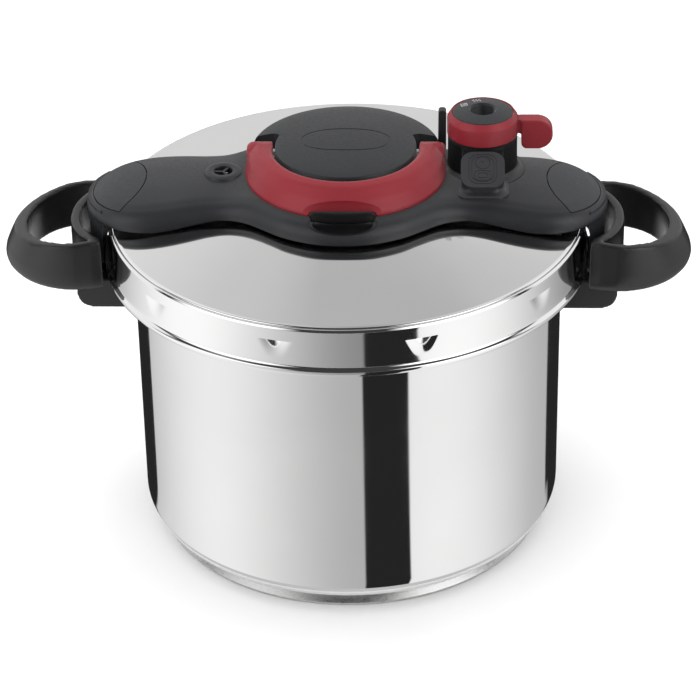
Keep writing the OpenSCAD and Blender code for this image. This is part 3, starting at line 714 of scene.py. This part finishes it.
def arch_section(angle):
    """Closed (radius, height) section of the arch at an angle from the front, in radians."""
    foot, top = ARCH.z0 + 0.1, ARCH.z1
    end = smooth_step((abs(angle) - math.radians(62)) / math.radians(34))
    out = ARCH_OUT - 0.8 * end
    top -= 1.0 * end
    corners = [
        (ARCH_IN, foot + 2, 1), (ARCH_IN, top - 1.2, 1.2), (ARCH_IN + 2.4, top, 2.6),
        (ARCH_IN + 6.0 + 2.6 * end, top - 1.0 + 0.6 * end, 5),
        (out - 3.6 + 2.4 * end, foot + 8.6 + 1.6 * end, 6),
        (out + 0.2, foot + 2.4, 1.6), (out - 0.2, foot, 0.8),
        (ARCH_IN + 2, foot, 1)]
    return rounded(corners, steps=5)


def make_scoop():
    """The shallow lens that is cut from the arch's front."""
    angles = np.linspace(-SCOOP_REACH, SCOOP_REACH, 49)
    turns = np.linspace(0, 2 * math.pi, 40, endpoint=False)
    pts = []
    for a in angles:
        r = SCOOP_OFF + SCOOP_DEPTH * (1 - (a / SCOOP_REACH) ** 2)
        pts += [((SCOOP_R + r * math.cos(t)) * math.sin(a), -(SCOOP_R + r * math.cos(t)) * math.cos(a),
                 SCOOP_Z + r * math.sin(t)) for t in turns]
    faces = grid_faces(49, 40, False, True) + [tuple(range(40)), tuple(range(48 * 40, 49 * 40))]
    return new_object("scoop", pts, faces)


def make_arch():
    reach = math.pi / 2 + math.atan2(PIVOT[1] - 0.5, ARCH_IN + 7)
    angles = [reach * (2 * k / 150 - 1) for k in range(151)]
    rows, pts = len(angles), []
    for a in angles:
        for r, z in arch_section(a):
            pts.append((r * math.sin(a), -r * math.cos(a), z))
    cols = len(pts) // rows
    faces = grid_faces(rows, cols, False, True)
    faces += [tuple(range(cols)), tuple(range((rows - 1) * cols, rows * cols))]
    arch = new_object("opening_arch", pts, faces, 40)
    for side in (-1, 1):
        end = revolve("end", rounded([(0.01, 0.3, 0), (ARCH_END_R, 0.3, 0), (ARCH_END_R, 13.6, 5.5),
                                      (0.01, 13.6, 0)]),
                      segments=64)
        end.data.transform(Matrix.Translation(Vector((side * ARCH_IN, PIVOT[1], PIVOT[2])) * MM)
                           @ Matrix.Rotation(side * math.pi / 2, 4, "Y"))
        carve(arch, "UNION", end)
    left, right = LIP.x0 - 0.2, LIP.x1 + 0.2
    seat = prism("seat", [(left, -60), (right, -60), (right, LIP.y1), (left, LIP.y1)], 190, LIP.z1 - 1)
    carve(arch, "DIFFERENCE", seat)
    soften(arch, 0.5, 8)
    carve(arch, "DIFFERENCE", make_scoop())
    dress(arch, RED, "opening_arch", "red_plastic", "opening_handle")
    half, radius, middle = (LIP.x1 - LIP.x0) / 2, 2.9, (LIP.z0 + LIP.z1) / 2
    rows = []
    turns = np.linspace(0, 2 * math.pi, 32, endpoint=False)
    for t in np.linspace(-1, 1, 49):
        r = max(0.05, radius * (1 - abs(t) ** 7) ** 0.5)
        x = half * t
        y = LIP.y0 + radius + (1 - math.sqrt(1 - (x / 56) ** 2)) * 40
        rows.append([(x, y + r * math.cos(a), middle + r * math.sin(a)) for a in turns])
    faces = grid_faces(49, 32, False, True) + [tuple(range(32)), tuple(range(48 * 32, 49 * 32))]
    lip = new_object("grip_lip", [p for row in rows for p in row], faces)
    carve(lip, "UNION", block("root", (LIP.x0 + 1, LIP.y0 + radius, LIP.z0 + 0.6),
                              (LIP.x1 - 1, LIP.y1, LIP.z1 - 1.4)))
    dress(lip, TOWER_BLACK, "opening_arch", "satin_black", "grip_lip")
    dull(arch, lip)


# ---- Steam valve ----
def desk_outline(grow):
    """Plan of the pedestal under the dock pad."""
    half, front = 10.4 + grow, -22.6 - grow
    return rounded([(KNOB[0] - half, front, 6), (KNOB[0] + half, front, 6), (KNOB[0] + half, KNOB[1], 0),
                    (KNOB[0] - half, KNOB[1], 0)])


def make_valve():
    kx, ky = KNOB[0], KNOB[1]
    top = KNOB_CAP.z1 - CAP_RISE
    ring_r = kx - RING.x0
    ring = revolve("ring", rounded([
        (15.4, 218, 0.4), (ring_r, 218, 0.8), (ring_r, top - 3, 2.4), (ring_r - 2.0, top, 1.6),
        (15.9, top, 0.5),
        (15.4, top - 1.0, 0.4)]), (kx, ky), 200)
    low, high, near, far = RING.z0, RING.z0 + TAB_TALL, RING.x1 - TAB_TALL, RING.x1
    half = TAB_THICK / 2
    tab = upright("tab", rounded([
        (near, low, 3), (far, low, TAB_TALL / 2), (far, high, TAB_TALL / 2), (near, high, 0.4)], steps=16),
        ky - half, ky + half)
    carve(tab, "UNION", block("neck", (kx + ring_r - 0.6, ky - 2.6, high - 8),
                              (near + 1, ky + 3.6, high - 0.1)))
    soften(tab, 0.4, 5)
    carve(tab, "DIFFERENCE", prism("cut", circle(15.5, kx, ky), 200, 235))
    carve(ring, "UNION", tab)
    dress(ring, RED, "knob", "red_plastic", "knob_ring")
    cap_r = KNOB_CAP.x1 - kx
    cap = revolve("selector_disc", rounded([
        (HOLE_R, 219.8, 0), (HOLE_R + 1, 219.8, 0), (HOLE_R + 1, 225, 0), (cap_r - 1, 225, 0),
        (cap_r - 1, 218.4, 0),
        (cap_r - 0.2, 218.4, 0.3), (cap_r - 0.2, top - 0.6, 0.4), (cap_r - 0.7, disc_z(cap_r), 0.4),
        (HOLE_R + 0.8, disc_z(HOLE_R + 0.8), 0.5), (HOLE_R, top + CAP_RISE - 1, 0.5)]), (kx, ky), 160)
    dress(cap, SATIN_BLACK, "knob", "satin_black", "knob_cap")
    make_symbols(kx, ky)
    column = revolve("valve_tower", rounded([
        (11.2, 196, 0), (18.4, 196, 0), (17.8, 202, 5), (17.7, 212, 4), (17.7, TOWER.z1, 0.4),
        (11.2, TOWER.z1, 0.4)]),
        (kx, ky), 160)
    desk = prism("desk", desk_outline(0), 194, 217)
    above = prism("above", circle(40), 0.2, 40)
    carve(desk, "DIFFERENCE", lean(above))
    carve(column, "UNION", desk)
    soften(column, 0.55, 9)
    carve(column, "DIFFERENCE", prism("cut", circle(11.0, kx, ky), 190, 235))
    dress(column, TOWER_BLACK, "lid", "satin_black", "valve_tower")
    dull(ring, cap, column)


CAP_RISE = 1.5
HOLE_R = 6.2
TAB_TALL = 16
TAB_THICK = 7.8


def disc_z(r):
    """Top of the selector disc, a shallow cone, at a distance r from its axis."""
    cap_r = KNOB_CAP.x1 - KNOB[0]
    return KNOB_CAP.z1 - 0.1 - CAP_RISE * 0.9 * (r - HOLE_R) / (cap_r - HOLE_R)


def ribbon(name, lines, width, surface):
    """Thin printed lines that follow a surface."""
    pts, faces = [], []
    for line in lines:
        for p, q in zip(line, line[1:]):
            p, q = np.array(p, float), np.array(q, float)
            along_line = (q - p) / np.linalg.norm(q - p) * width / 2
            across = np.array((-along_line[1], along_line[0]))
            corners = [p - along_line - across, q + along_line - across, q + along_line + across,
                       p - along_line + across]
            base = len(pts)
            for rise in (-0.1, 0.04):
                pts += [(x, y, surface(x, y) + rise) for x, y in corners]
            faces += [(base + i, base + (i + 1) % 4, base + 4 + (i + 1) % 4, base + 4 + i) for i in range(4)]
            faces += [(base + 3, base + 2, base + 1, base), (base + 4, base + 5, base + 6, base + 7)]
    mesh = bpy.data.meshes.new(name)
    mesh.from_pydata((np.array(pts) * MM).tolist(), [], faces)
    obj = bpy.data.objects.new(name, mesh)
    bpy.context.collection.objects.link(obj)
    return obj


def make_symbols(kx, ky):
    """Two plain marks on the disc: a diamond with a bar, and three rising waves."""
    def at(angle, out, lines):
        a = math.radians(angle)
        ox, oy = kx + out * math.cos(a), ky + out * math.sin(a)
        u, v = (math.sin(a), -math.cos(a)), (math.cos(a), math.sin(a))
        return [[(ox + x * u[0] + y * v[0], oy + x * u[1] + y * v[1]) for x, y in line] for line in lines]

    diamond = [[(-2.2, 0), (0, 2.0), (2.2, 0), (0, -2.0), (-2.2, 0)], [(-0.9, 0.3), (0.9, 0.3)],
               [(-0.6, -0.5), (0.6, -0.5)]]
    waves = [[(cx + 0.35 * math.sin(2.4 * t), t - 1.6) for t in np.linspace(0, 3.2, 9)]
             for cx in (-1.5, 0, 1.5)]
    marks = ribbon("selector_marks", at(148, 11.2, diamond) + at(106, 11.4, waves), 0.32,
                   lambda x, y: disc_z(math.hypot(x - kx, y - ky)))
    dress(marks, PALE_PRINT, "knob", "satin_black")


PAD_LEAN = math.radians(26)
DOCK_THICK = 2.6


def lean(obj):
    """Moves a shape from the dock pad's own plane to its place in front of the tower."""
    half = (DOCK.x1 - DOCK.x0) / 2
    place = (DOCK.cx, DOCK.y0 + half * math.cos(PAD_LEAN) + DOCK_THICK * math.sin(PAD_LEAN),
             DOCK.z0 + half * math.sin(PAD_LEAN))
    obj.data.transform(Matrix.Translation(Vector(place) * MM) @ Matrix.Rotation(PAD_LEAN, 4, "X"))
    return obj


def make_dock():
    half = (DOCK.x1 - DOCK.x0) / 2 - 0.05

    def panel(x, low, high, r):
        return [(-x, low, r), (x, low, r), (x, high, r), (-x, high, r)]

    def line(corners, width=0.42):
        (x, low, r), high = corners[1], corners[2][1]
        return rounded(corners), rounded(panel(x - width, low + width, high - width, r - width))

    pad = prism("dock_pad", rounded(panel(half, -half, half, 6.5)), 0.1, DOCK_THICK)
    outlines = [
        line(panel(7.2, -9, 9.4, 5)), line(panel(5.8, -7.7, 8.1, 4.4)), line(panel(4.3, -6.9, -0.6, 2.4)),
        line(panel(2.6, -5.4, -2.0, 1.4)), (circle(3.9, 0, 4.0), circle(3.5, 0, 4.0)),
        (circle(0.6, 0, 4.4, 24), None)]
    for outer, inner in outlines:
        groove = prism("groove", outer, DOCK_THICK - 0.35, DOCK_THICK + 1)
        if inner:
            carve(groove, "DIFFERENCE", prism("cut", inner, DOCK_THICK - 1, DOCK_THICK + 2))
        carve(pad, "DIFFERENCE", groove)
    lean(pad)
    carve(pad, "DIFFERENCE", prism("cut", circle(17.9, KNOB[0], KNOB[1]), 190, 225))
    dress(pad, DOCK_BLACK, "lid", "soft_touch", "dock_pad")
    dull(pad)


def upright(name, flat, y0, y1):
    """A prism over a closed (x, z) outline, between two y positions."""
    n = len(flat)
    pts = [(x, y, z) for y in (y0, y1) for x, z in flat]
    faces = [(i, (i + 1) % n, n + (i + 1) % n, n + i) for i in range(n)]
    return new_object(name, pts, faces + [tuple(range(n)), tuple(range(2 * n - 1, n - 1, -1))])


def make_fin():
    side = [(FIN.x0, FIN.z0 - 1), (FIN.x1, FIN.z0 - 1), (FIN.x1, FIN.z1), (FIN.x0 + 0.3, FIN.z1)]
    fin = upright("position_fin", rounded([(x, z, 1.3) for x, z in side]), FIN.y0, FIN.y1)
    soften(fin, 0.35, 2)
    dress(fin, SATIN_BLACK, "lid", "satin_black", "position_fin")


def make_vent():
    vx = VENT.cx
    top = VENT.z1
    ring = revolve("vent_ring", rounded([
        (4.8, 197.5, 0), (10.2, 197.5, 0), (9.4, top - 0.5, 1), (7.5, top, 2), (5.2, top - 0.2, 0.4),
        (4.8, top - 0.6, 0.3)]),
        (vx, 0), 120)
    for k in range(3):
        spoke = block("spoke", (0, -0.65, top - 2.0), (5.4, 0.65, top - 0.8))
        spoke.data.transform(Matrix.Rotation(math.radians(180 + 120 * k), 4, "Z"))
        spoke.data.transform(Matrix.Translation((vx * MM, 0, 0)))
        carve(ring, "UNION", spoke)
    dress(ring, SATIN_BLACK, "lid", "satin_black", "vent_grille")


# ---- Side handles ----
LOOP_CX = 138
LOOP_B = 38.5
BAR_IN = 38
BAR_OUT = 43


def oval(a, b, cx=LOOP_CX, n=120):
    return [(cx + a * math.cos(2 * math.pi * k / n), b * math.sin(2 * math.pi * k / n)) for k in range(n)]


def make_loop():
    a = LOOP.x1 - LOOP_CX
    low = 150.3
    # Outer form, leaning out to its fullest a little above its foot
    levels = [(low, 3.2, 1.2), (low + 2.5, 0.8, 0.2), (low + 5.5, 0, 0), (low + 9, 0.6, 0.2),
              (low + 15, 3.2, 1.0),
              (low + 21, 6.2, 1.8), (low + 28, 9.5, 3)]
    rows = []
    for z, da, db in levels:
        half = oval(a - da, LOOP_B - db)
        right = [p for p in half if p[0] >= LOOP_CX - 0.01]
        right.sort(key=lambda p: math.atan2(p[1], p[0] - LOOP_CX))
        rows.append([(120, -33.5 + db / 2), (129, -37.2 + db), *right, (129, 37.2 - db),
                     (120, 33.5 - db / 2)])
    cols = len(rows[0])
    pts = [(x, y, z) for (z, _, _), row in zip(levels, rows) for x, y in row]
    faces = grid_faces(len(rows), cols, False, True)
    faces += [tuple(range(cols)), tuple(range((len(rows) - 1) * cols, len(rows) * cols))]
    loop = new_object("loop", pts, faces)
    # Top surface falls towards the outer end
    side = [(100, 177.2), (130, 176.4), (150, 174.4), (165, 171.6), (172, 170), (190, 165), (190, 200),
            (100, 200)]
    n = len(side)
    top = new_object("top", [(x, y, z) for y in (-60, 60) for x, z in side],
                     [(i, (i + 1) % n, n + (i + 1) % n, n + i) for i in range(n)]
                     + [tuple(range(n)), tuple(range(2 * n - 1, n - 1, -1))])
    hole = prism("hole", oval(a - 12.2, LOOP_B - 6.5), 140, 190)
    carve(hole, "DIFFERENCE", prism("cut", circle(BAR_OUT, LOBE_X, n=128), 139, 191))
    carve(loop, "DIFFERENCE", top, hole, prism("cut", circle(BAR_IN + 0.2, LOBE_X, n=128), 140, 190),
          prism("cut", circle(128.4, n=256), 140, 190))
    # Knuckle
    hx, hz = HINGE[0], HINGE[2]
    knuckle = rod("knuckle", 5.5, (hx, -13.5, hz), (hx, 13.5, hz))
    web_side = [(hx - 3, hz + 4.6), (hx + 5, hz + 2.2), (142.5, low + 1), (142.5, 158), (138.3, 158)]
    n = len(web_side)
    web = new_object("web", [(x, y, z) for y in (-13.5, 13.5) for x, z in web_side],
                     [(i, (i + 1) % n, n + (i + 1) % n, n + i) for i in range(n)]
                     + [tuple(range(n)), tuple(range(2 * n - 1, n - 1, -1))])
    carve(knuckle, "UNION", web)
    carve(knuckle, "DIFFERENCE", prism("cut", circle(BAR_IN + 0.2, LOBE_X, n=128), low - 0.2, 190))
    carve(loop, "UNION", knuckle)
    soften(loop, 0.8, 7)
    dress(loop, HANDLE_BLACK, "handle_right", "gloss_black", "fold_handle_right")
    loop.name = "side_handle_right"
    left = mirrored(loop, "side_handle_left")
    dress(left, HANDLE_BLACK, "handle_left", "gloss_black", "fold_handle_left")


def make_bracket():
    hx, hz = HINGE[0], HINGE[2]
    cheek = (BRACKET.z1 - BRACKET.z0) / 2
    body = block("bracket", (wall_r - 3, BRACKET.y0, BRACKET.z0), (hx, BRACKET.y1, BRACKET.z1))
    carve(body, "UNION", rod("cheek", cheek - 0.05, (hx, BRACKET.y0, hz), (hx, BRACKET.y1, hz), 64))
    carve(body, "DIFFERENCE", prism("wall", circle(wall_r + 0.1, n=360), 100, 180),
          block("slot", (124, -14, 120), (150, 14, 160)))
    soften(body, 0.8, 4)
    dress(body, HANDLE_BLACK, "pot", "gloss_black", "bracket_right")
    body.name = "bracket_right_cover"
    left = mirrored(body, "bracket_left_cover")
    dress(left, HANDLE_BLACK, "pot", "gloss_black", "bracket_left")


# ---- Hidden metal and rubber keep their CAD shape ----
def dress_frame():
    finishes = {"machined_steel": MACHINED, "seal_rubber": RUBBER, "satin_black": SATIN_BLACK,
                "soft_touch": SOFT_TOUCH, "gloss_black": HANDLE_BLACK, "polished_steel": STEEL,
                "red_plastic": RED}
    slots = {s["node"]: s["material_slot"] for s in frame["record"]["subparts"]}
    for node, obj in frame["nodes"].items():
        for place in obj.material_slots:
            place.material = finishes[slots[node]]
    dull(*(frame["nodes"][node] for node in ("valve_spring", "valve_poppet", "valve_nozzle", "nozzle_nut")))


# ---- Studio ----
# The polished steel mirrors a card with two soft boxes, a black gap between them and black flags beyond.
# Places on the card are angles round the pot from the reference view, in degrees.
SOFT_BOXES = ((-70, 3, -40), (16, 69, 25))  # where each box starts and ends, and where it is brightest
BOX_SPREAD = 45
BOX_EDGE = 0.5
WALL_TONES = (0.5, 1.0)   # at a box's ends and at its brightest, as the pot's wall mirrors it
BAND_TONES = (0.3, 1.15)  # the same further out, as the lid's band mirrors it
FLAG_TONE = 0.02
FOOT_TONE = 0.6
# How far out on the card, in metres. Up to NEAR_REACH it has FOOT_TONE, and from BAND_REACH on BAND_TONES.
NEAR_REACH = 0.0085
WALL_REACH = 0.247
BAND_REACH = 0.256
CARD_REACHES = (0.001, 0.0083, 0.0087, 0.014, 0.02, 0.03, 0.045, 0.07, 0.11, 0.16, 0.22,
                WALL_REACH, BAND_REACH, 0.29, 0.34, 0.42, 0.6, 0.9, 1.4, 2.2, 3.5)
CARD_Z = 0.4
FLAG_SIDE = 60           # from this angle on, the flags lie further out near the pot's foot,
FLAG_SHIFT = 4           # by as many degrees as this at the foot itself,
FLAG_SHIFT_REACH = 0.05  # and by none from this reach on


def box_tone(theta, low, high):
    """Brightness of the card at an angle: one soft hump in each box, and black outside them."""
    for start, end, centre in SOFT_BOXES:
        if start <= theta <= end:
            fall = min(1, abs(theta - centre) / BOX_SPREAD)
            return low + (high - low) * (1 + math.cos(math.pi * fall)) / 2
    return FLAG_TONE


def make_card():
    """The card lies on the floor in front of the pot, and only polished surfaces see it."""
    edges = [edge for start, end, _ in SOFT_BOXES for edge in (start - BOX_EDGE, start, end, end + BOX_EDGE)]
    thetas = np.unique(np.concatenate([np.arange(-90, 91, 2), edges]))
    pts, tones = [], []
    for reach in CARD_REACHES:
        far = reach >= BAND_REACH
        radius, ends = (BAND_LOW_R, BAND_TONES) if far else (wall_r, WALL_TONES)
        for theta in thetas:
            a, b = VIEW_AZIMUTH + math.radians(theta), VIEW_AZIMUTH + 2 * math.radians(theta)
            pts.append((radius * math.sin(a) + reach / MM * math.sin(b),
                        -radius * math.cos(a) - reach / MM * math.cos(b), CARD_Z))
            shift = FLAG_SHIFT * max(0, 1 - reach / FLAG_SHIFT_REACH)
            place = theta - math.copysign(shift, theta) if abs(theta) > FLAG_SIDE + shift else theta
            tones.append(box_tone(place, *ends) if reach > NEAR_REACH else FOOT_TONE)
    cols = len(thetas)
    mesh = bpy.data.meshes.new("studio_card")
    mesh.from_pydata((np.array(pts) * MM).tolist(), [], grid_faces(len(CARD_REACHES), cols, False, False))
    mesh.attributes.new("tone", "FLOAT", "POINT").data.foreach_set("value", tones)
    card = bpy.data.objects.new("studio_card", mesh)
    bpy.context.collection.objects.link(card)
    glow = Nodes("card_tone")
    tone = glow.add("ShaderNodeAttribute")
    tone.attribute_name = "tone"
    glow.set(Base_Color=(0, 0, 0, 1), Roughness=1.0, Emission_Color=(1, 1, 1, 1),
             Emission_Strength=tone.outputs["Fac"])
    glow.shader.inputs["Specular IOR Level"].default_value = 0
    card.data.materials.append(glow.mat)
    card.visible_camera = card.visible_shadow = card.visible_diffuse = card.visible_transmission = False


ROOM_WHITE = (1.12, 1.12, 1.12, 1)


def make_world():
    """An even white room, which polished surfaces see bright behind and at both front corners, else dark."""
    world = bpy.data.worlds.new("studio")
    bpy.context.scene.world = world
    world.use_nodes = True
    tree = world.node_tree
    direction = tree.nodes.new("ShaderNodeTexCoord").outputs["Generated"]

    def toward(axis, stops, mirror=False):
        """A grey that depends on how near a direction is to an axis."""
        dot = tree.nodes.new("ShaderNodeVectorMath")
        dot.operation = "DOT_PRODUCT"
        tree.links.new(direction, dot.inputs[0])
        dot.inputs[1].default_value = Vector(axis).normalized()
        value = dot.outputs["Value"]
        if mirror:
            size = tree.nodes.new("ShaderNodeMath")
            size.operation = "ABSOLUTE"
            tree.links.new(value, size.inputs[0])
            value = size.outputs[0]
        ramp = tree.nodes.new("ShaderNodeValToRGB")
        ramp.color_ramp.interpolation = "EASE"
        tree.links.new(value, ramp.inputs["Fac"])
        while len(ramp.color_ramp.elements) < len(stops):
            ramp.color_ramp.elements.new(0.5)
        for stop, (place, grey) in zip(ramp.color_ramp.elements, stops):
            stop.position, stop.color = place, (grey, grey, grey, 1)
        return ramp.outputs["Color"]

    def blend(kind, factor, a, b):
        mix = tree.nodes.new("ShaderNodeMix")
        mix.data_type, mix.blend_type = "RGBA", kind
        for socket, value in ((mix.inputs["Factor"], factor), (mix.inputs[6], a), (mix.inputs[7], b)):
            if isinstance(value, bpy.types.NodeSocket):
                tree.links.new(value, socket)
            else:
                socket.default_value = value
        return mix.outputs[2]

    back = toward((0, 1, 0), ((0.0, 0.05), (0.42, 0.08), (0.60, 0.30), (0.70, 0.52), (0.86, 0.76)))
    sides = toward((1, 0, 0), ((0.0, 0.42), (0.15, 0.66), (0.3, 0.92), (0.6, 1.0)), mirror=True)
    behind = toward((0, 1, 0), ((0.0, 0.0), (0.12, 1.0)))
    front_left = toward((-0.75, -0.55, 0.36), ((0.84, 0.0), (0.96, 1.5)))
    front_right = toward((0.75, -0.55, 0.36), ((0.84, 0.0), (0.96, 2.2)))
    mirrored_room = blend("LIGHTEN", 1.0, back, blend("MULTIPLY", 1.0, sides, behind))
    mirrored_room = blend("LIGHTEN", 1.0, mirrored_room, blend("LIGHTEN", 1.0, front_left, front_right))
    glossy = tree.nodes.new("ShaderNodeLightPath").outputs["Is Glossy Ray"]
    room = blend("MIX", glossy, ROOM_WHITE, mirrored_room)
    tree.links.new(room, tree.nodes["Background"].inputs["Color"])


def make_studio():
    floor = prism("floor", circle(9000, n=64), -30, -0.01)
    m = Nodes("floor_paper")
    m.set(Base_Color=m.ramp(m.noise(3), (0.94, 0.94, 0.94), (0.955, 0.955, 0.955)), Roughness=0.9)
    floor.data.materials.append(m.mat)
    make_card()
    make_world()

    def soft_light(name, place, look, size, power):
        data = bpy.data.lights.new(name, "AREA")
        data.shape, data.size, data.size_y, data.energy = "RECTANGLE", size[0], size[1], power
        lamp = bpy.data.objects.new(name, data)
        lamp.location = place
        lamp.rotation_euler = (Vector(look) - Vector(place)).to_track_quat("-Z", "Y").to_euler()
        lamp.visible_glossy = False
        bpy.context.collection.objects.link(lamp)

    soft_light("top_light", (0, 0.3, 1.8), (0, 0, 0), (2.4, 1.8), 14)
    soft_light("left_light", (-1.6, -1.2, 0.9), (0, 0, 0.1), (1.2, 1.8), 8)
    bpy.context.scene.view_settings.view_transform = "Standard"


make_pot()
make_lid()
make_band()
make_housing()
make_hub()
make_arch()
make_valve()
make_dock()
make_fin()
make_vent()
make_loop()
make_bracket()
dress_frame()
make_studio()
